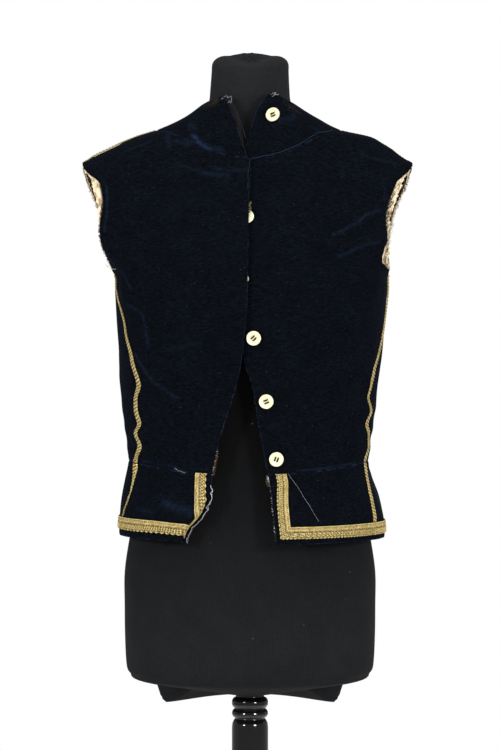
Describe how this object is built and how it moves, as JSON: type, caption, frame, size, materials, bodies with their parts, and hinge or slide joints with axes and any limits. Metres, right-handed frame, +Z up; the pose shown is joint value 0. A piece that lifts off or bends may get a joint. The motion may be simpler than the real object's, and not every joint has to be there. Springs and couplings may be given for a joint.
{
  "type": "theatrical costume jacket on dress form",
  "caption": "Sleeveless velvet costume jacket with funnel collar, short basque, gold braid and sewn buttons, resting on a limbless dress form with a turned wooden stand.",
  "frame": {"origin": "centre of the stand base's underside, on the floor", "axes": "+Z up along the stand; the wearer faces -Y, the wearer's left is +X"},
  "size_m": [0.4223, 0.38, 1.5015],
  "materials": {
    "velvet": "dark navy cotton velvet with a short worn pile",
    "gold_braid": "woven metallic gold braid, plain ribs beside a zigzag, scalloped outer edge",
    "cotton_lining": "undyed cotton lining, stained and frayed",
    "brown_lining": "brown cotton lining",
    "ivory_button": "glossy ivory coloured buttons with sewing thread",
    "black_jersey": "matt black stretch jersey over a padded form",
    "black_lacquer": "gloss black lacquer on turned wood"
  },
  "bodies": {
    "root": {"collar": "velvet", "right_front": "velvet", "right_side_back": "velvet", "right_back": "velvet", "right_basque_front": "velvet", "right_basque_back": "velvet", "left_front": "velvet", "left_side_back": "velvet", "left_back": "velvet", "left_basque_front": "velvet", "left_basque_back": "velvet", "right_side_braid": "gold_braid", "right_basque_side_braid": "gold_braid", "right_front_hem_braid": "gold_braid", "right_back_hem_braid": "gold_braid", "right_shoulder_braid": "gold_braid", "left_side_braid": "gold_braid", "left_basque_side_braid": "gold_braid", "left_front_hem_braid": "gold_braid", "left_back_hem_braid": "gold_braid", "left_shoulder_braid": "gold_braid", "right_armhole_lining_front": "cotton_lining", "right_armhole_lining_back": "cotton_lining", "left_armhole_lining_front": "cotton_lining", "left_armhole_lining_back": "cotton_lining", "collar_lining": "brown_lining", "button_collar": "ivory_button", "button_chest": "ivory_button", "button_bust": "ivory_button", "button_midriff": "ivory_button", "button_above_waist": "ivory_button", "button_waist": "ivory_button", "form_torso": "black_jersey", "stand_post": "black_lacquer", "stand_base": "black_lacquer"}
  },
  "joints": []
}
